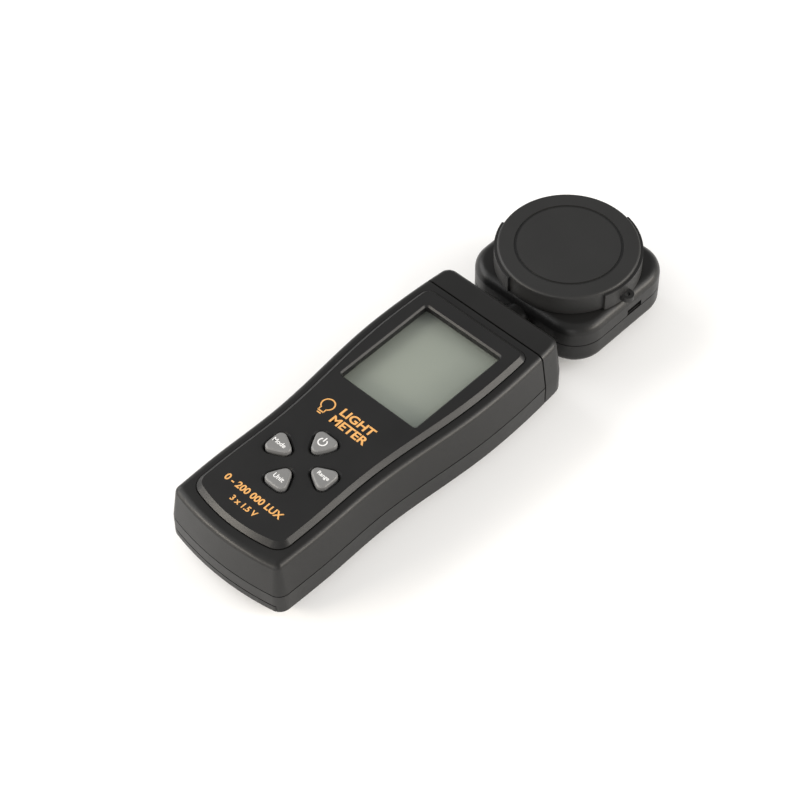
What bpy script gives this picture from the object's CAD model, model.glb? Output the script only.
# %% [markdown]
# # Handheld light meter
# The meter is a palm-sized casing with a display, four rubber keys and a sensor head that turns on
# a neck at the far end. Its mechanical pieces come from the CAD frame and stay where they are.
# This lesson gives the outside its finish: every shell, key and cover that the hand or the eye
# meets is modelled again with rounded edges, and every piece gets a material made of nodes.

# %% Load the frame
from math import atan, atan2, cos, degrees, hypot, pi, radians, sin, sqrt

import bmesh
import bpy
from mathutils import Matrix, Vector


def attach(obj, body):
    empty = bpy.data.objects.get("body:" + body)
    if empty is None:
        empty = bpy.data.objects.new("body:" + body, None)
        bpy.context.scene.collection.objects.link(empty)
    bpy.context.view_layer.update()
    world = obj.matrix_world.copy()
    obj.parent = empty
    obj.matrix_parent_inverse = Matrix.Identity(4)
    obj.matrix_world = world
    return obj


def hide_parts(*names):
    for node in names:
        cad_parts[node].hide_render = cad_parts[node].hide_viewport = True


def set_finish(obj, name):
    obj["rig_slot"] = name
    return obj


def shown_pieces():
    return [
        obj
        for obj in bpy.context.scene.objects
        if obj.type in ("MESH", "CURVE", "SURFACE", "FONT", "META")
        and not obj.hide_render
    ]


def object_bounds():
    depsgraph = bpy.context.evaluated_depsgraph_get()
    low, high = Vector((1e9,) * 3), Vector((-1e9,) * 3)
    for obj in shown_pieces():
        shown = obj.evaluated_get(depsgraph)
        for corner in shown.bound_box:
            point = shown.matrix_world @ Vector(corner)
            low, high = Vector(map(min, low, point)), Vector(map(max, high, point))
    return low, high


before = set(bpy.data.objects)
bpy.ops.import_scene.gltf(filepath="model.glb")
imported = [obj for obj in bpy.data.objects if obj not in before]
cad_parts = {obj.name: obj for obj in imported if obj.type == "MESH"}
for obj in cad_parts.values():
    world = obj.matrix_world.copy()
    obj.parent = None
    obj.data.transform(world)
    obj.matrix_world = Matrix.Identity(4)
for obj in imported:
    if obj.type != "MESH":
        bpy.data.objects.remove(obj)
cad_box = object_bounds()
print("CAD box in metres:", [round(c, 4) for corner in cad_box for c in corner])

# %% [markdown]
# ## Camera first
# The meter lies on a white table and is looked at over its near right corner. A long lens from
# two thirds of a metre keeps the sides almost parallel. The camera is placed by an azimuth and an
# elevation round a point in the casing, and rolled by less than a degree.

# %% Camera
MM = 0.001
LOOK_AT = Vector((0.0, -10.5, 16.5)) * MM
AZIMUTH, ELEVATION, ROLL = radians(44.118), radians(49.886), radians(-0.815)
DISTANCE = 688.95 * MM
LENS, SENSOR_WIDTH = 113.56, 36.0

away = Vector((sin(AZIMUTH) * cos(ELEVATION), -cos(AZIMUTH) * cos(ELEVATION), sin(ELEVATION)))
right = Vector((cos(AZIMUTH), sin(AZIMUTH), 0.0))
up = away.cross(right)
camera_data = bpy.data.cameras.new("camera")
camera_data.lens = LENS
camera_data.sensor_width = SENSOR_WIDTH
camera_data.clip_start = 0.01
camera = bpy.data.objects.new("camera", camera_data)
bpy.context.scene.collection.objects.link(camera)
side = cos(ROLL) * right + sin(ROLL) * up
top = cos(ROLL) * up - sin(ROLL) * right
for row in range(3):
    camera.matrix_world[row][0] = side[row]
    camera.matrix_world[row][1] = top[row]
    camera.matrix_world[row][2] = away[row]
    camera.matrix_world[row][3] = (LOOK_AT + DISTANCE * away)[row]
bpy.context.scene.camera = camera
print("camera at", [round(c, 3) for c in camera.matrix_world.translation])

# %% [markdown]
# ## How the pieces are shaped
# A piece is worked in millimetres, because Blender's bevels and merges behave best near size 1,
# and is brought down to metres once it is done. Operators act on whatever is selected, so every
# step starts from nothing selected and then picks faces, edges or points by where they are.

# %% Picking and placing
FLAT = 0.01                     # how level an edge has to be to count as flat
CREASE = 32                     # degrees; an edge that turns by more is a real edge


def clear():
    """Deselect every object."""
    bpy.ops.object.select_all(action="DESELECT")


def take(piece):
    """Make one piece the selected and active one."""
    clear()
    piece.select_set(True)
    bpy.context.view_layer.objects.active = piece


class Shaping:
    """Edit mode on one piece; pick() selects what passes a test and says how much that was."""

    def __init__(self, piece):
        self.piece = piece

    def __enter__(self):
        take(self.piece)
        bpy.ops.object.mode_set(mode="EDIT")
        bpy.ops.mesh.select_all(action="DESELECT")
        return self

    def __exit__(self, *error):
        bpy.ops.object.mode_set(mode="OBJECT")

    def pick(self, kind, test):
        bpy.ops.mesh.select_mode(type={"verts": "VERT", "edges": "EDGE", "faces": "FACE"}[kind])
        bpy.ops.mesh.select_all(action="DESELECT")
        mesh = bmesh.from_edit_mesh(self.piece.data)
        chosen = [part for part in getattr(mesh, kind) if test(part)]
        for part in chosen:
            part.select_set(True)
        mesh.select_flush_mode()
        bmesh.update_edit_mesh(self.piece.data)
        return len(chosen)


def at(z):
    """A test for edges or faces that lie flat at one height."""
    return lambda part: all(abs(v.co.z - z) < FLAT for v in part.verts)


def modifier(piece, kind, **settings):
    """Add a modifier, set it and apply it."""
    take(piece)
    added = piece.modifiers.new(kind.lower(), kind)
    for name, value in settings.items():
        setattr(added, name, value)
    bpy.ops.object.modifier_apply(modifier=added.name)


def carve(piece, cutter, operation="DIFFERENCE"):
    """Cut, join or intersect a piece with another, which is used up."""
    modifier(piece, "BOOLEAN", operation=operation, object=cutter, solver="EXACT")
    bpy.data.objects.remove(cutter)


def soften(piece, width, segments=2):
    """Round every real edge a little."""
    modifier(
        piece,
        "BEVEL",
        width=width,
        segments=segments,
        limit_method="ANGLE",
        angle_limit=radians(CREASE),
        miter_outer="MITER_ARC",
    )


# %% [markdown]
# Most outlines here are closed lines of points. A disc is the natural start for such a shape: it
# is one face with a rim, its rim points are moved onto the outline, and the face is then extruded
# from height to height. Every rim point keeps its number through an extrude, so each new rim can
# follow an outline of its own, and leaning walls, ledges and grooves come without any cutting.

# %% Stacking outlines
def stack(name, rims):
    """A closed solid through a list of (outline points, height)."""
    clear()
    points, z = rims[0]
    bpy.ops.mesh.primitive_circle_add(vertices=len(points), fill_type="NGON")
    piece = bpy.context.object
    piece.name = piece.data.name = name
    numbers = piece.data.attributes.new("rim", "INT", "POINT")
    for i, (x, y) in enumerate(points):
        numbers.data[i].value = i
        piece.data.vertices[i].co = (x, y, z)
    with Shaping(piece):
        bpy.ops.mesh.select_all(action="SELECT")
        for points, z in rims[1:]:
            bpy.ops.mesh.extrude_region_move()
            mesh = bmesh.from_edit_mesh(piece.data)
            number = mesh.verts.layers.int["rim"]
            for v in mesh.verts:
                if v.select:
                    v.co = (*points[v[number]], z)
            bmesh.update_edit_mesh(piece.data)
        bpy.ops.mesh.select_all(action="SELECT")
        bpy.ops.mesh.normals_make_consistent(inside=False)
    piece.data.attributes.remove(piece.data.attributes["rim"])
    return piece


def round_edges(piece, test, radius, segments):
    """Round the edges that pass the test with an arc of a radius."""
    with Shaping(piece) as shape:
        shape.pick("edges", test)
        bpy.ops.mesh.bevel(offset=radius, segments=segments, affect="EDGES", clamp_overlap=True)


def slab(x0, x1, y0, y1, z0, z1):
    """A plain box, used only to cut with."""
    clear()
    middle = ((x0 + x1) / 2, (y0 + y1) / 2, (z0 + z1) / 2)
    bpy.ops.mesh.primitive_cube_add(size=1, location=middle, scale=(x1 - x0, y1 - y0, z1 - z0))
    cutter = bpy.context.object
    bpy.ops.object.transform_apply(location=True, rotation=False, scale=True)
    return cutter


def drum(radius, x, y, z0, z1, count=64):
    """A plain upright cylinder, used to cut or to add a boss."""
    clear()
    place = (x, y, (z0 + z1) / 2)
    bpy.ops.mesh.primitive_cylinder_add(
        vertices=count, radius=radius, depth=z1 - z0, location=place
    )
    cutter = bpy.context.object
    bpy.ops.object.transform_apply(location=True, rotation=False, scale=True)
    return cutter


def settle(piece, body, slot, *nodes):
    """Smooth the shading, bring the piece to metres, and let it ride on its body."""
    with Shaping(piece):
        bpy.ops.mesh.select_all(action="SELECT")
        bpy.ops.mesh.remove_doubles(threshold=0.002)
        bpy.ops.mesh.dissolve_degenerate(threshold=0.001)
        bpy.ops.mesh.normals_make_consistent(inside=False)
    take(piece)
    bpy.ops.object.shade_smooth_by_angle(angle=radians(CREASE))
    modifier(piece, "WEIGHTED_NORMAL", keep_sharp=True, weight=60)
    piece.scale = (MM, MM, MM)
    bpy.ops.object.transform_apply(location=True, rotation=True, scale=True)
    if nodes:
        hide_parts(*nodes)
    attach(piece, body)
    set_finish(piece, slot)
    surface = bmesh.new()
    surface.from_mesh(piece.data)
    loose = sum(1 for e in surface.edges if len(e.link_faces) != 2)
    print(piece.name, "faces", len(piece.data.polygons), "open edges", loose)
    surface.free()


# %% [markdown]
# ## The casing's outline
# Seen from above, the casing is a nearly straight grip, a narrow waist, a bulge beside the display
# and a collar that tapers a little. The battery end bows outwards. Three cosine and square curves
# give that line with no stray bumps, and the corners are arcs that start in line with both sides.

# %% Casing sizes and outline
low, high = [[c / MM for c in corner] for corner in cad_box]
END_Y = low[1]
GRIP_HALF, GRIP_SWELL, BULGE_HALF = 20.9, 0.35, high[0]
WAIST_Y, BULGE_Y, COLLAR_Y, TIP_Y = END_Y + 37.0, END_Y + 84.0, 23.3, 32.8
SEAM_Z, DECK_Z, FACE_Z, BELLY_Z = 11.2, 22.5, 24.0, 4.5
END_SAG = 2.6
CORNER_R, TIP_CORNER_R, LEAST_R = 3.6, 4.8, 0.8
COLLAR_TAPER = 1.7              # how much narrower each side is at the tip than at the bulge
DECK_R = 2.0                    # rounding between the walls and the deck
SIDE_LEAN, END_LEAN = 1.7, 1.1
HOLLOW_SIDE_LEAN, HOLLOW_END_LEAN = 1.4, 0.9
WALL, DECK_T, TIP_WALL = 1.8, 2, 2.2
SEAM = 0.3                      # width of the shadow line between two shells
SEAM_DEPTH = 0.5
COLLAR_SEAM, COLLAR_SEAM_DEPTH = 0.45, 0.9
EDGE = 0.16                     # rounding of the small edges
SIDE_STEPS, END_STEPS, CORNER_STEPS = 46, 9, 8
PAST = 1                        # how far a cutter reaches past what it cuts
CLEAR, BEYOND_END, BEYOND_TIP, BELOW = 30, -90, 40, -5  # places outside the casing


def half_width(y):
    """Half the casing's width at a place along it."""
    if y < WAIST_Y:
        return GRIP_HALF + GRIP_SWELL * (1 - cos(2 * pi * (y - END_Y) / (WAIST_Y - END_Y))) / 2
    if y < BULGE_Y:
        swell = (1 - cos(pi * (y - WAIST_Y) / (BULGE_Y - WAIST_Y))) / 2
        return GRIP_HALF + (BULGE_HALF - GRIP_HALF) * swell
    return BULGE_HALF - COLLAR_TAPER * ((y - BULGE_Y) / (TIP_Y - BULGE_Y)) ** 2


def arc(centre, radius, start, stop, steps):
    """Points along an arc, angles in degrees."""
    turns = [radians(start + (stop - start) * i / steps) for i in range(steps + 1)]
    return [(centre[0] + radius * cos(a), centre[1] + radius * sin(a)) for a in turns]


def outline(inset, y0, y1, r0, r1):
    """The casing's plan moved in by an inset, between two places along it, anticlockwise."""
    reach = half_width(y0 + END_SAG + r0) - inset
    slope = 0.0
    for _ in range(5):
        x = reach - r0 + r0 * sin(slope)
        slope = atan(2 * END_SAG * x / reach**2)
    mid_y = y0 + END_SAG * (x / reach) ** 2 + r0 * cos(slope)
    side_ys = [mid_y + (y1 - r1 - mid_y) * i / SIDE_STEPS for i in range(1, SIDE_STEPS)]
    back = half_width(y1 - r1) - inset
    end_xs = [x * i / END_STEPS for i in range(1, END_STEPS)]
    half = [(px, y0 + END_SAG * (px / reach) ** 2) for px in end_xs]
    half += arc((reach - r0, mid_y), r0, degrees(slope) - 90, 0, CORNER_STEPS)
    half += [(half_width(y) - inset, y) for y in side_ys]
    half += arc((back - r1, y1 - r1), r1, 0, 90, CORNER_STEPS)
    mirrored = [(-px, py) for px, py in reversed(half)]
    return [(0.0, y0), *half, *mirrored]


def casing_rim(side, end, tip=None):
    """The casing's own outline, sides, battery end and tip each moved in."""
    tip = end if tip is None else tip
    r0, r1 = max(CORNER_R - side, LEAST_R), max(TIP_CORNER_R - side, LEAST_R)
    return outline(side, END_Y + end, TIP_Y - tip, r0, r1)


print("outline points", len(casing_rim(0, 0)), "widest", 2 * max(p[0] for p in casing_rim(0, 0)))

# %% [markdown]
# ## Front shell
# A moulded tray with leaning walls and a generously rounded deck edge. It is the casing's solid
# above the seam, hollowed by a second solid one wall thickness inside. The deck has a shallow
# pocket that the face plate drops into, an opening for the display and one for each key.

# %% Front shell
def come_in(lean, z):
    """How far a leaning wall and the rounding above it have come in at a height."""
    slope = lean / (DECK_Z - SEAM_Z)
    middle = slope * (DECK_Z - DECK_R - SEAM_Z) + DECK_R * hypot(1.0, slope)
    rise = z - (DECK_Z - DECK_R)
    return middle - sqrt(DECK_R**2 - rise**2)


def deck_rims(inset=0.0):
    """Outlines up the rounding, from where it leaves the wall to the flat deck."""
    start = atan(SIDE_LEAN / (DECK_Z - SEAM_Z))
    rims = []
    for i in range(CORNER_STEPS + 1):
        turn = start + (pi / 2 - start) * i / CORNER_STEPS
        z = DECK_Z - DECK_R + DECK_R * sin(turn)
        side, end = come_in(SIDE_LEAN, z) + inset, come_in(END_LEAN, z) + inset
        rims.append((casing_rim(side, end), z - inset))
    return rims


def casing_top(name, z0):
    """The casing above a height, with its leaning walls and rounded deck edge."""
    return stack(name, [(casing_rim(0, 0), z0), *deck_rims()])


def casing_hollow(name, z0, z1):
    """The space inside the upper walls."""
    low_rim = casing_rim(WALL, WALL, TIP_WALL)
    top_rim = casing_rim(WALL + HOLLOW_SIDE_LEAN, WALL + HOLLOW_END_LEAN, TIP_WALL)
    return stack(name, [(low_rim, z0), (top_rim, z1)])


KEYS_Y = END_Y + 31.8
KEY_RING = 7.9
KEY_TURNS = {"power": 0, "range": -90, "unit": 180, "mode": 90}
KEY_GAP, WELL_BEVEL = 0.45, 0.45
KEY_TIP, KEY_BACK, KEY_HALF = 5.0, 3.0, 4.3
KEY_BOW, KEY_R = 0.3, 1.7
KEY_CORNER_STEPS, KEY_SIDE_STEPS = 9, 7
WINDOW_X, WINDOW_Y, WINDOW_R, WINDOW_BEVEL = 27.8, 34.2, 0.8, 0.5
WINDOW_SETBACK = 8.3            # from the collar to the window
WINDOW_MID = COLLAR_Y - WINDOW_SETBACK - WINDOW_Y / 2
OPENING_GROW, OPENING_R = 1.8, 1.0
PLATE_SIDE, PLATE_END, PLATE_TIP = 4.6, 5.2, 2.3
PLATE_R, PLATE_TIP_R, PLATE_LEAST_R = 4.6, 3.0, 1.0
PLATE_GAP, PLATE_SUNK, PLATE_SLOPE, PLATE_EDGE = 0.2, 0.8, 1.3, 0.2
THROUGH = 4                     # depth of a cut that goes right through the deck


def rounded(half_x, half_y, radius, middle_y=0.0, steps=6):
    """A rectangle with round corners, anticlockwise."""
    points = []
    for sx, sy, turn in ((1, 1, 0), (-1, 1, 90), (-1, -1, 180), (1, -1, 270)):
        centre = (sx * (half_x - radius), middle_y + sy * (half_y - radius))
        points += arc(centre, radius, turn, turn + 90, steps)
    return points


def window(grow, radius):
    """The display window, grown all round."""
    return rounded(WINDOW_X / 2 + grow, WINDOW_Y / 2 + grow, radius, WINDOW_MID)


def key_outline(grow):
    """A key's plan: a triangle with bowed sides and round corners, its tip towards -Y."""
    spots = ((0.0, -KEY_TIP), (KEY_HALF, KEY_BACK), (-KEY_HALF, KEY_BACK))
    corners = [Vector(spot) for spot in spots]
    sides = []
    for start, stop in zip(corners, corners[1:] + corners[:1]):
        chord = (stop - start).length
        radius = chord**2 / (8 * KEY_BOW) + KEY_BOW / 2
        outward = Vector((stop.y - start.y, start.x - stop.x)).normalized()
        sides.append(((start + stop) / 2 - outward * (radius - KEY_BOW), radius))
    rounds = []
    for i, corner in enumerate(corners):
        (c1, r1), (c2, r2) = sides[i - 1], sides[i]
        gap = c2 - c1
        along = ((r1 - KEY_R) ** 2 - (r2 - KEY_R) ** 2 + gap.length**2) / (2 * gap.length)
        off = ((r1 - KEY_R) ** 2 - along**2) ** 0.5
        middle = c1 + gap.normalized() * along
        across = Vector((-gap.y, gap.x)).normalized() * off
        rounds.append(min((middle + across, middle - across), key=lambda p: (p - corner).length))
    points = []
    for i, middle in enumerate(rounds):
        before, after = sides[i - 1][0], sides[i][0]
        rays = ((before, middle), (after, middle), (after, rounds[(i + 1) % 3]))
        turns = [degrees(atan2(b.y - a.y, b.x - a.x)) for a, b in rays]
        turns[1] += 360 * (turns[1] < turns[0])
        points += arc(middle, KEY_R + grow, turns[0], turns[1], KEY_CORNER_STEPS)
        turns[2] += 360 * round((turns[1] - turns[2]) / 360)
        side = arc(after, sides[i][1] + grow, turns[1], turns[2], KEY_SIDE_STEPS)
        points += side[1:-1]
    return points


def key_place(turn):
    """Where a key stands in the diamond."""
    return -KEY_RING * sin(radians(turn)), KEYS_Y + KEY_RING * cos(radians(turn))


def key_blank(name, turn, rims):
    """A stack of key outlines, turned and moved to its place in the diamond."""
    blank = stack(name, [(key_outline(grow), z) for grow, z in rims])
    take(blank)
    blank.rotation_euler[2] = radians(turn)
    blank.location = (*key_place(turn), 0)
    bpy.ops.object.transform_apply(location=True, rotation=True, scale=True)
    return blank


def plate_rim(inset):
    """The face plate's outline, moved in by an inset."""
    y0, y1 = END_Y + PLATE_END + inset, COLLAR_Y - PLATE_TIP - inset
    r0, r1 = max(PLATE_R - inset, PLATE_LEAST_R), max(PLATE_TIP_R - inset, PLATE_LEAST_R)
    return outline(PLATE_SIDE + inset, y0, y1, r0, r1)


front_shell = casing_top("front_shell_moulding", SEAM_Z)
carve(front_shell, casing_hollow("hollow", SEAM_Z - PAST, DECK_Z - DECK_T))
carve(front_shell, slab(-CLEAR, CLEAR, COLLAR_Y, BEYOND_TIP, 0, CLEAR))
pocket, opening = plate_rim(-PLATE_GAP), window(OPENING_GROW, OPENING_R)
carve(front_shell, stack("pocket", [(pocket, DECK_Z - PLATE_SUNK), (pocket, DECK_Z + PAST)]))
carve(front_shell, stack("opening", [(opening, DECK_Z - THROUGH), (opening, DECK_Z)]))
for turn in KEY_TURNS.values():
    carve(front_shell, key_blank("well", turn, [(KEY_GAP, DECK_Z - THROUGH), (KEY_GAP, DECK_Z)]))
soften(front_shell, EDGE)
settle(front_shell, "casing", "shell_plastic", "front_shell")

# %% [markdown]
# ## Face plate
# The plate stands a millimetre and a half proud of the deck with a broad slope all round, which
# catches the light as a thin bright frame. The slope is a third rim moved inwards. The window and
# the key wells go right through, and every rim is rounded so that it shines a little.

# %% Face plate
face_plate = stack(
    "face_plate_moulding",
    [
        (plate_rim(0), DECK_Z - PLATE_SUNK),
        (plate_rim(0), FACE_Z - PLATE_SLOPE),
        (plate_rim(PLATE_SLOPE), FACE_Z),
    ],
)
inner, outer = window(0, WINDOW_R), window(WINDOW_BEVEL, WINDOW_R + WINDOW_BEVEL)
frame_rims = [
    (inner, DECK_Z - DECK_T),
    (inner, FACE_Z - WINDOW_BEVEL),
    (outer, FACE_Z),
    (outer, FACE_Z + PAST),
]
carve(face_plate, stack("window", frame_rims))
for turn in KEY_TURNS.values():
    throat = [(KEY_GAP, DECK_Z - DECK_T), (KEY_GAP, FACE_Z - WELL_BEVEL)]
    mouth = [(KEY_GAP + WELL_BEVEL, FACE_Z), (KEY_GAP + WELL_BEVEL, FACE_Z + PAST)]
    carve(face_plate, key_blank("well", turn, throat + mouth))
soften(face_plate, PLATE_EDGE, 3)
settle(face_plate, "casing", "face_plastic", "face_plate")

# %% [markdown]
# ## Collar
# A block of the same section closes the casing and holds the neck's bearing. It is flush with the
# front shell, so only a thin dark line shows: the block starts with a short step just
# inside the surface. The boss and its bore are drums joined and cut at the swivel axis.

# %% Collar
AXIS_Z = 10.9
HEAD_Y = 38.2
SPLIT_Y = 35.7                  # where the head's half of the neck begins
NECK_R, BORE_R = 4.5, 3.25
NECK_SPLIT = 0.4                # gap between the two parts of the neck
BELLY_IN = 4.6                  # how far the bottom edge comes in
ROOM_FLOOR = 2.6                # floor of the collar's room, above the wall's thickness
BORE_START, COLLAR_BORE_END = 4, 36


def casing_block(name, inset):
    """The whole casing from bottom to deck, moved in by an inset."""
    rims = [
        (casing_rim(BELLY_IN + inset, BELLY_IN + inset), inset),
        (casing_rim(inset, inset), BELLY_Z),
        (casing_rim(inset, inset), SEAM_Z),
        *deck_rims(inset),
    ]
    return stack(name, rims)


def axle(radius, y0, y1):
    """A plain cylinder on the swivel axis."""
    clear()
    place = (0, (y0 + y1) / 2, AXIS_Z)
    turn = (radians(90), 0, 0)
    bpy.ops.mesh.primitive_cylinder_add(
        vertices=64, radius=radius, depth=y1 - y0, location=place, rotation=turn
    )
    cutter = bpy.context.object
    bpy.ops.object.transform_apply(location=True, rotation=True, scale=True)
    return cutter


collar = casing_block("end_collar_moulding", 0.0)
carve(collar, slab(-CLEAR, CLEAR, BEYOND_END, COLLAR_Y + COLLAR_SEAM, BELOW, CLEAR))
step = casing_block("step", COLLAR_SEAM_DEPTH)
carve(step, slab(-CLEAR, CLEAR, COLLAR_Y, COLLAR_Y + PAST, BELOW, CLEAR), "INTERSECT")
carve(collar, step, "UNION")
carve(collar, casing_hollow("room", WALL + ROOM_FLOOR, DECK_Z - DECK_T))
carve(collar, axle(NECK_R, TIP_Y - TIP_WALL, SPLIT_Y - NECK_SPLIT), "UNION")
carve(collar, axle(BORE_R, TIP_Y - BORE_START, COLLAR_BORE_END))
soften(collar, EDGE)
settle(collar, "casing", "shell_plastic", "end_collar")

# %% [markdown]
# ## Keys
# Four silicone keys stand a millimetre above the plate in a diamond, each a rounded triangle that
# points at the middle. A key is a stack of outlines: a flange that stops it falling out, the walls
# and a rounded top. A round stem below goes through the mat on the board. The legends are thin
# inked shapes just above the top face.

# %% Keys
INK_T = 0.04                    # thickness of the print
KEY_TOP = high[2] - INK_T
KEY_TOP_R, KEY_DRAFT = 0.6, 0.1
STEM_R, STEM_LOW, STEM_OVERLAP = 1.9, 17.82, 0.4
FLANGE, FLANGE_LOW, FLANGE_TOP = 0.9, 19.7, 20.5
for name, turn in KEY_TURNS.items():
    flange = [(FLANGE, FLANGE_LOW), (FLANGE, FLANGE_TOP)]
    rims = [*flange, (0.0, FLANGE_TOP), (-KEY_DRAFT, KEY_TOP)]
    key = key_blank(f"{name}_key_rubber", turn, rims)
    round_edges(key, at(KEY_TOP), KEY_TOP_R, 5)
    stem = drum(STEM_R, *key_place(turn), STEM_LOW, FLANGE_LOW + STEM_OVERLAP, 32)
    carve(key, stem, "UNION")
    settle(key, f"{name}_button", "key_rubber", f"{name}_key")

# %% [markdown]
# ## Sensor head
# The head is a flat box with very round corners in two halves, joined about half-way up by a thin
# shadow line. Each half is a stack of rounded rectangles with a large rounded rim. The upper half
# carries the round boss of the sensor and the slot for a cord, the lower half the screw wells.

# %% Head halves
HEAD_HALF, HEAD_BACK, HEAD_R = 22.3, high[1], 10.0
HEAD_MID = (HEAD_Y + HEAD_BACK) / 2
HEAD_LOW, HEAD_TOP = 3.2, 17.5
HEAD_TOP_R, HEAD_LOW_R, HEAD_EDGE = 2.8, 3.0, 0.14
HEAD_SCREW_X, HEAD_SCREW_Y = 16.0, 13.4
POST_R, SCREW_WELL_R, SCREW_R, SCREW_WELL_DEPTH = 2.8, 2.2, 1.2, 2.6
HEAD_WALL, HEAD_SHOULDER = 2, 3.2
ROOM_LOW, ROOM_MOUTH, ROOM_HIGH, ROOM_TOP = 6.4, 12, 13.9, 15.5
BOSS_R, BOSS_TOP, SEAT_R, APERTURE_R, BOSS_CUT = 18.6, 20.5, 16.6, 12.6, 22
SEAT_FLOOR = 0.1
SLOT_DEPTH, SLOT_FROM, SLOT_TO, SLOT_TALL = 2.4, 0.55, 6.45, 2.0
NECK_BOX = (-10, 10, 30, 45)    # the neck's surroundings, seen from above
HEAD_BORE = (30, 43.6)


def head_rim(inset):
    """The head's plan, moved in by an inset."""
    half_y = (HEAD_BACK - HEAD_Y) / 2
    return rounded(HEAD_HALF - inset, half_y - inset, HEAD_R - inset, HEAD_MID, 12)


upper = stack("head_upper_moulding", [(head_rim(0), AXIS_Z), (head_rim(0), HEAD_TOP)])
round_edges(upper, at(HEAD_TOP), HEAD_TOP_R, 8)
neck = axle(NECK_R, SPLIT_Y, HEAD_Y + 2)
carve(neck, slab(*NECK_BOX, AXIS_Z, HEAD_TOP), "INTERSECT")
carve(upper, neck, "UNION")
carve(upper, drum(BOSS_R, 0, HEAD_MID, HEAD_TOP - HEAD_WALL, BOSS_TOP, 128), "UNION")
room, shoulder = head_rim(HEAD_WALL), head_rim(HEAD_SHOULDER)
carve(upper, stack("room", [(room, AXIS_Z - PAST), (room, ROOM_HIGH), (shoulder, ROOM_TOP)]))
carve(upper, drum(SEAT_R, 0, HEAD_MID, HEAD_TOP + SEAT_FLOOR, BOSS_CUT, 96))
carve(upper, drum(APERTURE_R, 0, HEAD_MID, AXIS_Z, BOSS_CUT, 96))
slot_x = (HEAD_HALF - SLOT_DEPTH, HEAD_HALF + PAST)
slot_y = (HEAD_MID + SLOT_FROM, HEAD_MID + SLOT_TO)
carve(upper, slab(*slot_x, *slot_y, AXIS_Z - PAST, AXIS_Z + SLOT_TALL))
carve(upper, axle(BORE_R, *HEAD_BORE))
soften(upper, HEAD_EDGE)
settle(upper, "head", "shell_plastic", "head_upper_shell")

lower = stack(
    "head_lower_moulding",
    [
        (head_rim(0), HEAD_LOW),
        (head_rim(0), AXIS_Z - SEAM),
        (head_rim(SEAM_DEPTH), AXIS_Z - SEAM),
        (head_rim(SEAM_DEPTH), AXIS_Z),
    ],
)
round_edges(lower, at(HEAD_LOW), HEAD_LOW_R, 8)
neck = axle(NECK_R, SPLIT_Y, HEAD_Y + 2)
carve(neck, slab(*NECK_BOX, AXIS_Z - 8, AXIS_Z), "INTERSECT")
carve(lower, neck, "UNION")
low_room = [(shoulder, HEAD_LOW + HEAD_WALL), (room, ROOM_LOW), (room, ROOM_MOUTH)]
carve(lower, stack("room", low_room))
for sx in (-1, 1):
    for sy in (-1, 1):
        x, y = sx * HEAD_SCREW_X, HEAD_MID + sy * HEAD_SCREW_Y
        carve(lower, drum(POST_R, x, y, HEAD_LOW + PAST, AXIS_Z, 32), "UNION")
        well_top = HEAD_LOW + SCREW_WELL_DEPTH
        carve(lower, drum(SCREW_WELL_R, x, y, HEAD_LOW - PAST, well_top, 32))
        carve(lower, drum(SCREW_R, x, y, HEAD_LOW, AXIS_Z + PAST, 32))
carve(lower, axle(BORE_R, *HEAD_BORE))
soften(lower, HEAD_EDGE)
settle(lower, "head", "shell_plastic", "head_lower_shell")

# %% [markdown]
# ## Sensor cap
# The cap is a shallow round lid. Its top has a fine ring groove, and its skirt has wide raised
# bands to grip it by and a small tab with a hole. The lid is a stack of circles. The bands are
# faces of the lower skirt, picked by their angle and pushed out.

# %% Cap
CAP_R, CAP_LOW, CAP_TOP, BAND_TOP = 20.4, HEAD_TOP + 0.3, 24.5, 23.5
CAP_WALL, CAP_ROOF, BRIM_R = 1.5, 1.4, 0.8
GROOVE = ((15.65, 0.0), (15.6, 0.35), (14.8, 0.35), (14.75, 0.0))  # radii and depths
BANDS, BAND_T = ((196, 258), (-20, 78)), 0.8
TAB_W, TAB_LOW, TAB_TOP, TAB_HOLE_R = 3.8, 18.6, 20.3, 0.8
TAB_X = high[0] - TAB_W / 2


def ring(radius):
    """A circle of 144 points about the middle of the head."""
    return arc((0, HEAD_MID), radius, 0, 360 - 360 / 144, 143)


def in_band(face):
    """Whether a skirt face lies in a grip band."""
    centre = face.calc_center_median()
    if centre.z > BAND_TOP or Vector((centre.x, centre.y - HEAD_MID)).length < CAP_R - 0.5:
        return False
    turn = degrees(atan2(centre.y - HEAD_MID, centre.x))
    return any(a < turn < b or a < turn + 360 < b for a, b in BANDS)


def on_brim(edge):
    """Whether an edge runs round the outside of the cap's top."""
    middle = Vector((0, HEAD_MID))
    outside = all(abs((v.co.xy - middle).length - CAP_R) < 0.05 for v in edge.verts)
    return outside and at(CAP_TOP)(edge)


cap = stack(
    "sensor_cap_lid",
    [
        (ring(CAP_R), CAP_LOW),
        (ring(CAP_R), BAND_TOP),
        (ring(CAP_R), CAP_TOP),
        *[(ring(radius), CAP_TOP - depth) for radius, depth in GROOVE],
    ],
)
round_edges(cap, on_brim, BRIM_R, 6)
with Shaping(cap) as shape:
    print("band faces", shape.pick("faces", in_band))
    bpy.ops.mesh.extrude_region_shrink_fatten(TRANSFORM_OT_shrink_fatten={"value": BAND_T})
tab = slab(CAP_R - 1, TAB_X, HEAD_MID - TAB_W / 2, HEAD_MID + TAB_W / 2, TAB_LOW, TAB_TOP)
carve(tab, drum(TAB_W / 2, TAB_X, HEAD_MID, TAB_LOW, TAB_TOP), "UNION")
carve(cap, tab, "UNION")
carve(cap, drum(TAB_HOLE_R, TAB_X, HEAD_MID, TAB_LOW - PAST, TAB_TOP + PAST, 32))
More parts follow.
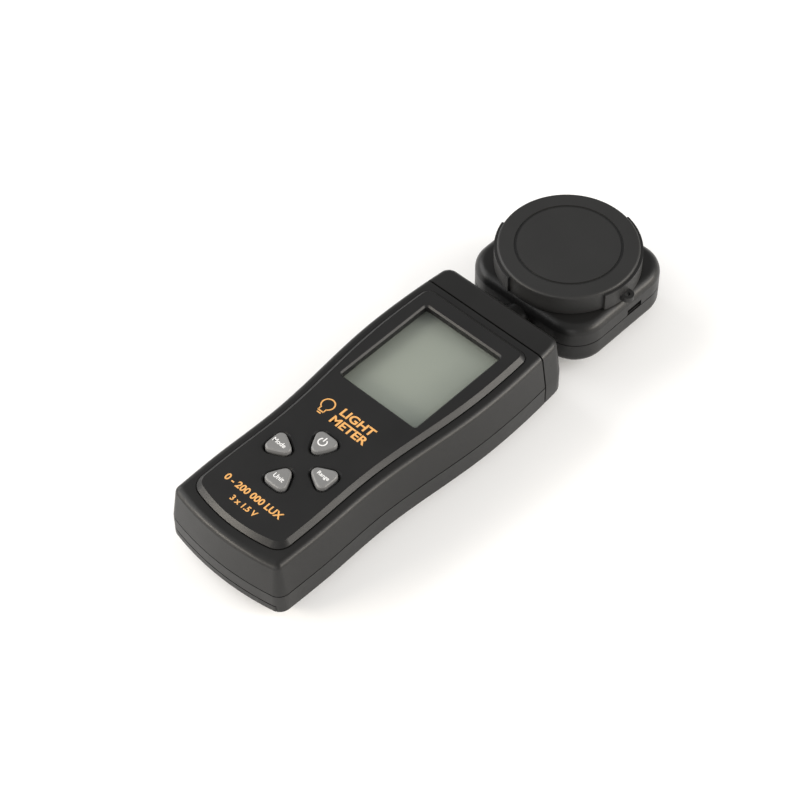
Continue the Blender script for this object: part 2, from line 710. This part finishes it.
carve(cap, drum(CAP_R - CAP_WALL, 0, HEAD_MID, CAP_LOW - PAST, CAP_TOP - CAP_ROOF, 128))
soften(cap, HEAD_EDGE, 3)
settle(cap, "cap", "cap_plastic", "sensor_cap")

# %% [markdown]
# ## Printed marks
# The marks are ink a few hundredths of a millimetre thick. Text is typed, made a mesh and then
# laid flat; arcs and bars are stacks with two rims. The words are plain ones that any such meter
# could carry: what it is, what it measures and what each key does.

# %% Ink
def ink_text(name, words, size, x, y, z, squeeze=1.0, weight=0.026):
    """Flat lettering centred on a point, in millimetres."""
    clear()
    bpy.ops.object.text_add()
    text = bpy.context.object
    text.name = name
    text.data.body = words
    text.data.size = size
    text.data.align_x = "CENTER"
    text.data.align_y = "CENTER"
    text.data.offset = size * weight
    text.data.extrude = INK_T / 2
    text.data.resolution_u = 6
    bpy.ops.object.convert(target="MESH")
    text = bpy.context.object
    text.location = (x, y, z + INK_T / 2)
    text.scale = (squeeze, 1.0, 1.0)
    bpy.ops.object.transform_apply(location=True, rotation=True, scale=True)
    return text


def ink_arc(name, x, y, z, inner, outer, start, stop):
    """A curved stroke round a point."""
    line = arc((x, y), outer, start, stop, 30) + arc((x, y), inner, stop, start, 30)
    return stack(name, [(line, z), (line, z + INK_T)])


def ink_bar(name, x0, x1, y0, y1, z):
    """A straight stroke with round ends."""
    half_x, half_y = (x1 - x0) / 2, (y1 - y0) / 2
    corner = min(half_x, half_y) * 0.9
    line = [(px + (x0 + x1) / 2, py) for px, py in rounded(half_x, half_y, corner, (y0 + y1) / 2)]
    return stack(name, [(line, z), (line, z + INK_T)])


def ink_join(name, parts):
    """Several strokes as one piece of print."""
    clear()
    for part in parts:
        part.select_set(True)
    bpy.context.view_layer.objects.active = parts[0]
    bpy.ops.object.join()
    parts[0].name = parts[0].data.name = name
    return parts[0]


def ink_settle(piece, body, finish):
    """Bring a print to metres and let it ride."""
    with Shaping(piece):
        bpy.ops.mesh.select_all(action="SELECT")
        bpy.ops.mesh.remove_doubles(threshold=0.0005)
        bpy.ops.mesh.normals_make_consistent(inside=False)
    take(piece)
    piece.scale = (MM, MM, MM)
    bpy.ops.object.transform_apply(location=True, rotation=True, scale=True)
    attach(piece, body)
    piece["finish"] = finish


bulb_x, bulb_y = -8.6, -29.4
bulb = ink_join(
    "bulb_mark",
    [
        ink_arc("glass", bulb_x, bulb_y, FACE_Z, 1.75, 2.15, -58, 238),
        ink_bar("left", bulb_x - 1.13, bulb_x - 0.75, bulb_y - 2.9, bulb_y - 1.5, FACE_Z),
        ink_bar("right", bulb_x + 0.75, bulb_x + 1.13, bulb_y - 2.9, bulb_y - 1.5, FACE_Z),
        ink_bar("thread", bulb_x - 1.1, bulb_x + 1.1, bulb_y - 3.1, bulb_y - 2.7, FACE_Z),
        ink_bar("foot", bulb_x - 0.7, bulb_x + 0.7, bulb_y - 3.8, bulb_y - 3.4, FACE_Z),
    ],
)
ink_settle(bulb, "casing", "gold_ink")
WORDS = {
    "light": ("LIGHT", 3.7, 1.6, -28.6, 1.15),
    "meter": ("METER", 3.7, 1.6, -32.2, 1.15),
    "range": ("0 - 200 000 LUX", 3.0, -1.0, -65.0, 1.0),
    "cells": ("3 x 1.5 V", 2.5, -0.6, -69.0, 1.0),
}
for name, (words, size, x, y, squeeze) in WORDS.items():
    word = ink_text(f"word_{name}", words, size, x, y, FACE_Z, squeeze)
    ink_settle(word, "casing", "gold_ink")

power_y = KEYS_Y + KEY_RING
symbol = ink_join(
    "power_legend",
    [
        ink_arc("ring", 0, power_y + 0.1, KEY_TOP, 1.05, 1.4, -235, 55),
        ink_bar("stroke", -0.18, 0.18, power_y + 0.3, power_y + 1.9, KEY_TOP),
    ],
)
ink_settle(symbol, "power_button", "white_ink")
LEGENDS = {
    "mode": ("Mode", 1.95, -KEY_RING - 0.3, KEYS_Y),
    "range": ("Range", 1.7, KEY_RING + 0.3, KEYS_Y),
    "unit": ("Unit", 2.05, 0.0, KEYS_Y - KEY_RING - 0.5),
}
for name, (words, size, x, y) in LEGENDS.items():
    legend = ink_text(f"{name}_legend", words, size, x, y, KEY_TOP, weight=0.014)
    ink_settle(legend, f"{name}_button", "white_ink")

# %% [markdown]
# ## Finishes
# Every material is worked out by nodes from the piece's own coordinates, so that a grain stays
# fixed to the plastic when the piece moves. A small class wraps a node's output so that masks can
# be added and multiplied as ordinary Python, and one method makes every other node.

# %% A shorthand for nodes
class Wire:
    """A node output that can be used in arithmetic."""

    def __init__(self, finish, socket):
        self.finish, self.socket = finish, socket

    def maths(self, operation, first, second):
        return self.finish.node("Math", {"operation": operation}, {0: first, 1: second})

    def __add__(self, other):
        return self.maths("ADD", self, other)

    def __radd__(self, other):
        return self.maths("ADD", other, self)

    def __sub__(self, other):
        return self.maths("SUBTRACT", self, other)

    def __rsub__(self, other):
        return self.maths("SUBTRACT", other, self)

    def __mul__(self, other):
        return self.maths("MULTIPLY", self, other)

    def __rmul__(self, other):
        return self.maths("MULTIPLY", other, self)

    def __gt__(self, other):
        return self.maths("GREATER_THAN", self, other)


class Finish:
    """One material round a Principled shader."""

    def __init__(self, name, **constants):
        self.material = bpy.data.materials.new(name)
        self.material.use_nodes = True
        self.tree = self.material.node_tree
        self.shader = self.tree.nodes["Principled BSDF"]
        for socket, value in constants.items():
            self.shader.inputs[socket.replace("_", " ")].default_value = value

    def node(self, kind, settings=None, inputs=None, output=0):
        made = self.tree.nodes.new(f"ShaderNode{kind}")
        for name, value in (settings or {}).items():
            setattr(made, name, value)
        for name, value in (inputs or {}).items():
            self.join(made.inputs[name], value)
        return Wire(self, made.outputs[output])

    def join(self, socket, value):
        if isinstance(value, Wire):
            self.tree.links.new(value.socket, socket)
        else:
            socket.default_value = value

    def feed(self, name, value):
        self.join(self.shader.inputs[name], value)

    def place(self, scale=(1, 1, 1)):
        """Object coordinates, stretched along the axes."""
        here = self.node("TexCoord", output="Object")
        return self.node("Mapping", inputs={"Vector": here, "Scale": scale})

    def noise(self, size_mm, detail=3.0, scale=(1, 1, 1)):
        """Noise whose blotches are about so many millimetres across, 0 to 1."""
        inputs = {"Vector": self.place(scale), "Scale": 1 / (size_mm * MM), "Detail": detail}
        return self.node("TexNoise", inputs=inputs)

    def blend(self, factor, first, second):
        """A mix of two colours."""
        return self.node("Mix", {"data_type": "RGBA"}, {0: factor, 6: first, 7: second}, output=2)

    def bump(self, height, depth_mm, strength=1.0):
        """Relief of a depth in millimetres."""
        inputs = {"Height": height, "Strength": strength, "Distance": depth_mm * MM}
        self.feed("Normal", self.node("Bump", inputs=inputs))


def shade(level, tint=(1.0, 1.0, 1.0)):
    """A colour from a brightness and a tint."""
    return (level * tint[0], level * tint[1], level * tint[2], 1.0)


# %% [markdown]
# ### Plastics and rubber
# The casing is black ABS from a spark-eroded mould: a grain of about a sixth of a millimetre that
# breaks up the shine, faint cloudy changes of gloss, and sparse paler specks of dust and rubbing.
# The face plate has a finer grain, and the cap is softer and more matt than either.

# %% Moulded finishes
CLOUD_MM, WEAR_MM, SPECK_MM, SPECK_CUT = 14.0, 5.0, 0.5, 0.79


def moulded(name, dark, pale, roughness, grain_mm, depth_mm, tint=(1.0, 1.0, 1.0), **constants):
    """Moulded plastic or rubber with a fine grain."""
    finish = Finish(name, **constants)
    grain = finish.noise(grain_mm, 2.0)
    cloud = finish.noise(CLOUD_MM, 4.0)
    specks = finish.noise(SPECK_MM, 1.0) > SPECK_CUT
    wear = finish.noise(WEAR_MM, 6.0)
    worn = finish.blend(cloud, shade(dark, tint), shade(pale, tint))
    finish.feed("Base Color", finish.blend(specks * 0.35, worn, shade(pale * 2.2, tint)))
    finish.feed("Roughness", roughness - 0.08 + 0.1 * cloud + 0.08 * wear)
    finish.bump(grain, depth_mm)
    return finish.material


FINISHES = {
    "shell_plastic": moulded(
        "shell_plastic", 0.0085, 0.0125, 0.38, 0.16, 0.01, (1.0, 0.99, 0.98), Specular_IOR_Level=0.3
    ),
    "face_plastic": moulded(
        "face_plastic", 0.0075, 0.011, 0.4, 0.11, 0.005, (1.0, 0.99, 1.0), Specular_IOR_Level=0.32
    ),
    "cap_plastic": moulded("cap_plastic", 0.013, 0.018, 0.5, 0.2, 0.01, Specular_IOR_Level=0.35),
    "inner_plastic": moulded("inner_plastic", 0.01, 0.016, 0.5, 0.2, 0.01),
    "washer_plastic": moulded("washer_plastic", 0.5, 0.62, 0.4, 0.3, 0.005, (1.0, 0.97, 0.9)),
    "inner_rubber": moulded("inner_rubber", 0.012, 0.02, 0.65, 0.15, 0.01),
    "key_rubber": moulded("key_rubber", 0.14, 0.2, 0.45, 0.25, 0.012),
    "connector": moulded("connector", 0.6, 0.7, 0.45, 0.2, 0.006, (1.0, 0.96, 0.86)),
    "red_lead": moulded("red_lead", 0.3, 0.4, 0.4, 0.3, 0.004, (1.0, 0.06, 0.04)),
    "black_lead": moulded("black_lead", 0.01, 0.02, 0.4, 0.3, 0.004),
    "grey_lead": moulded("grey_lead", 0.16, 0.22, 0.45, 0.3, 0.004),
    "diffuser": moulded(
        "diffuser", 0.78, 0.84, 0.45, 0.3, 0.005, (1.0, 0.99, 0.96), Subsurface_Weight=0.3
    ),
    "carbon": moulded("carbon", 0.01, 0.03, 0.6, 0.1, 0.01),
    "chip": moulded("chip", 0.012, 0.02, 0.5, 0.12, 0.01),
    "white_ink": moulded("white_ink", 0.7, 0.8, 0.5, 0.2, 0.004),
    "gold_ink": moulded("gold_ink", 0.62, 0.72, 0.4, 0.15, 0.004, (1.0, 0.52, 0.16)),
}
print("moulded finishes", len(FINISHES))

# %% [markdown]
# ### Metals
# Screws, contacts and cans are plated. Their colour hardly changes, but the gloss does: fine
# scratches are noise stretched along one axis, and tarnish comes as soft blotches.

# %% Metals
def metal(name, colour, roughness, scratch=(1, 14, 14)):
    """Plated metal with fine scratches and a little tarnish."""
    finish = Finish(name, Metallic=1.0)
    scratches = finish.noise(0.8, 4.0, scratch)
    tarnish = finish.noise(3.0, 5.0)
    dull = tuple(c * 0.72 for c in colour[:3]) + (1.0,)
    finish.feed("Base Color", finish.blend(tarnish, colour, dull))
    finish.feed("Roughness", roughness - 0.05 + 0.14 * scratches + 0.1 * tarnish)
    finish.bump(scratches, 0.004, 0.6)
    return finish.material


FINISHES["screw_steel"] = metal("screw_steel", (0.42, 0.42, 0.44, 1), 0.3)
FINISHES["nickel"] = metal("nickel", (0.66, 0.62, 0.56, 1), 0.25)
FINISHES["tin"] = metal("tin", (0.62, 0.62, 0.63, 1), 0.3, (14, 1, 14))
FINISHES["foil"] = metal("foil", (0.75, 0.76, 0.78, 1), 0.2, (3, 3, 3))
print("all finishes so far", len(FINISHES))

# %% [markdown]
# ### Board, cells, glass and display
# The board is green lacquer with slightly raised tracks, drawn by a brick pattern. The cells have a
# dark sleeve with a coloured band. The display is off: a grey-green polariser over a silver
# backing, a little darker towards one end. The window over it is clear and only reflects.

# %% Special finishes
def board_finish():
    finish = Finish("board", Coat_Weight=0.3)
    tracks = finish.node(
        "TexBrick",
        {"offset": 0.35, "squash": 0.7},
        {
            "Vector": finish.place(),
            "Scale": 260.0,
            "Mortar Size": 0.06,
            "Mortar Smooth": 0.1,
        },
        output="Fac",
    )
    green = finish.blend(tracks, (0.004, 0.075, 0.03, 1), (0.02, 0.16, 0.06, 1))
    finish.feed("Base Color", finish.blend(finish.noise(0.3) * 0.2, green, (0.01, 0.05, 0.02, 1)))
    finish.feed("Roughness", 0.3 + 0.15 * tracks)
    finish.bump(tracks, 0.03)
    return finish.material


def cell_finish():
    finish = Finish("cell_sleeve", Coat_Weight=0.4)
    along = finish.node("SeparateXYZ", inputs={0: finish.place()}, output=1)
    band = along > -0.042
    sleeve = finish.blend(band, (0.012, 0.013, 0.016, 1), (0.5, 0.3, 0.09, 1))
    finish.feed("Base Color", finish.blend(finish.noise(1.5) * 0.15, sleeve, (0.1, 0.09, 0.08, 1)))
    finish.feed("Roughness", 0.24 + 0.12 * finish.noise(2.0))
    finish.feed("Metallic", band * 0.6)
    finish.bump(finish.noise(1.2, 2.0), 0.01)
    return finish.material


def display_finish():
    finish = Finish("display_glass", IOR=1.5)
    along = finish.node("SeparateXYZ", inputs={0: finish.place()}, output=1)
    fade = 0.5 + 12.0 * (along + 0.002)
    cloud = finish.noise(9.0, 2.0)
    silver = finish.blend(fade, (0.305, 0.312, 0.288, 1), (0.265, 0.272, 0.25, 1))
    finish.feed("Base Color", finish.blend(cloud * 0.25, silver, (0.275, 0.282, 0.255, 1)))
    finish.feed("Roughness", 0.32 + 0.06 * finish.noise(0.25))
    finish.bump(finish.noise(0.12, 1.0), 0.001)
    return finish.material


def clear_finish(name, tint, strength):
    """Thin clear sheet: mostly open, shining at a slant."""
    finish = Finish(name, IOR=1.5)
    finish.feed("Base Color", finish.blend(finish.noise(20.0), tint, shade(0.8)))
    finish.feed("Roughness", 0.04 + 0.05 * finish.noise(6.0))
    open_sheet = finish.node("BsdfTransparent", inputs={0: tint})
    slant = finish.node("LayerWeight", inputs={"Blend": 0.35}, output="Facing")
    mixed = finish.tree.nodes.new("ShaderNodeMixShader")
    finish.join(mixed.inputs[0], strength + 0.3 * slant * slant)
    finish.join(mixed.inputs[1], open_sheet)
    finish.tree.links.new(finish.shader.outputs[0], mixed.inputs[2])
    out = finish.tree.nodes["Material Output"]
    finish.tree.links.new(mixed.outputs[0], out.inputs["Surface"])
    return finish.material


FINISHES["board"] = board_finish()
FINISHES["cell_sleeve"] = cell_finish()
FINISHES["display_glass"] = display_finish()
FINISHES["clear_lens"] = clear_finish("clear_lens", (0.93, 0.95, 0.93, 1), 0.03)
FINISHES["filter_glass"] = clear_finish("filter_glass", (0.25, 0.55, 0.4, 1), 0.2)

# %% [markdown]
# ### Putting the finishes on
# A CAD node that stays visible keeps its shape and gets its finish through its material slots. A
# new piece gets the finish of the slot that it stands for, and a print gets its ink.

# %% Assign
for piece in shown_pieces():
    wanted = piece.get("finish") or piece.get("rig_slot")
    if wanted:
        piece.data.materials.clear()
        piece.data.materials.append(FINISHES[wanted])
        continue
    for slot in piece.material_slots:
        slot.material = FINISHES[slot.material.name.split(".")[0]]

# %% [markdown]
# ## Table and light
# The meter lies on a white table under soft boxes. One large box is to the left, a second behind
# on the right and a third low in front. Two narrow warm strips stand where a surface that slopes
# by half a right angle mirrors them, so the rounded rims and the plate's slope get a thin warm
# line while the flat deck, which mirrors the sky behind the meter, stays dark.

# %% Floor
FLOOR_GLOW = 0.12
clear()
bpy.ops.mesh.primitive_plane_add(size=6.0, location=(0, 0, 0))
floor = bpy.context.object
floor.name = "floor"
table = Finish("table_white", Roughness=0.6)
table.feed("Base Color", table.blend(table.noise(40.0, 2.0) * 0.1, shade(0.86), shade(0.83)))
table.shader.inputs["Emission Color"].default_value = shade(1.0)
table.shader.inputs["Emission Strength"].default_value = FLOOR_GLOW
floor.data.materials.append(table.material)

# %% Lights
WARM, NEUTRAL = (1.0, 0.93, 0.82), (1.0, 0.99, 0.98)
SKY = 0.42


def soft_box(name, direction, distance, width, height, power, colour=(1.0, 1.0, 1.0)):
    """A rectangular lamp that faces the meter."""
    lamp_data = bpy.data.lights.new(name, "AREA")
    lamp_data.shape = "RECTANGLE"
    lamp_data.size, lamp_data.size_y = width, height
    lamp_data.energy = power
    lamp_data.color = colour
    lamp = bpy.data.objects.new(name, lamp_data)
    toward = Vector(direction).normalized()
    lamp.location = LOOK_AT + toward * distance
    lamp.rotation_euler = toward.to_track_quat("Z", "Y").to_euler()
    bpy.context.scene.collection.objects.link(lamp)


soft_box("left_box", (-0.85, -0.25, 0.55), 1.0, 0.9, 0.6, 7.0)
soft_box("back_right_box", (0.8, 0.75, 0.6), 1.0, 0.8, 0.5, 5.0, NEUTRAL)
soft_box("front_box", (0.35, -0.95, 0.35), 1.1, 0.9, 0.3, 3.5, NEUTRAL)
soft_box("near_strip", (-0.45, -0.81, 0.37), 1.0, 0.5, 0.26, 7.5, WARM)
soft_box("right_strip", (0.84, 0.46, 0.27), 1.0, 0.8, 0.2, 7.5, WARM)
world = bpy.data.worlds.new("studio")
world.use_nodes = True
world.node_tree.nodes["Background"].inputs["Color"].default_value = shade(1.0)
world.node_tree.nodes["Background"].inputs["Strength"].default_value = SKY
bpy.context.scene.world = world
bpy.context.scene.view_settings.view_transform = "Standard"
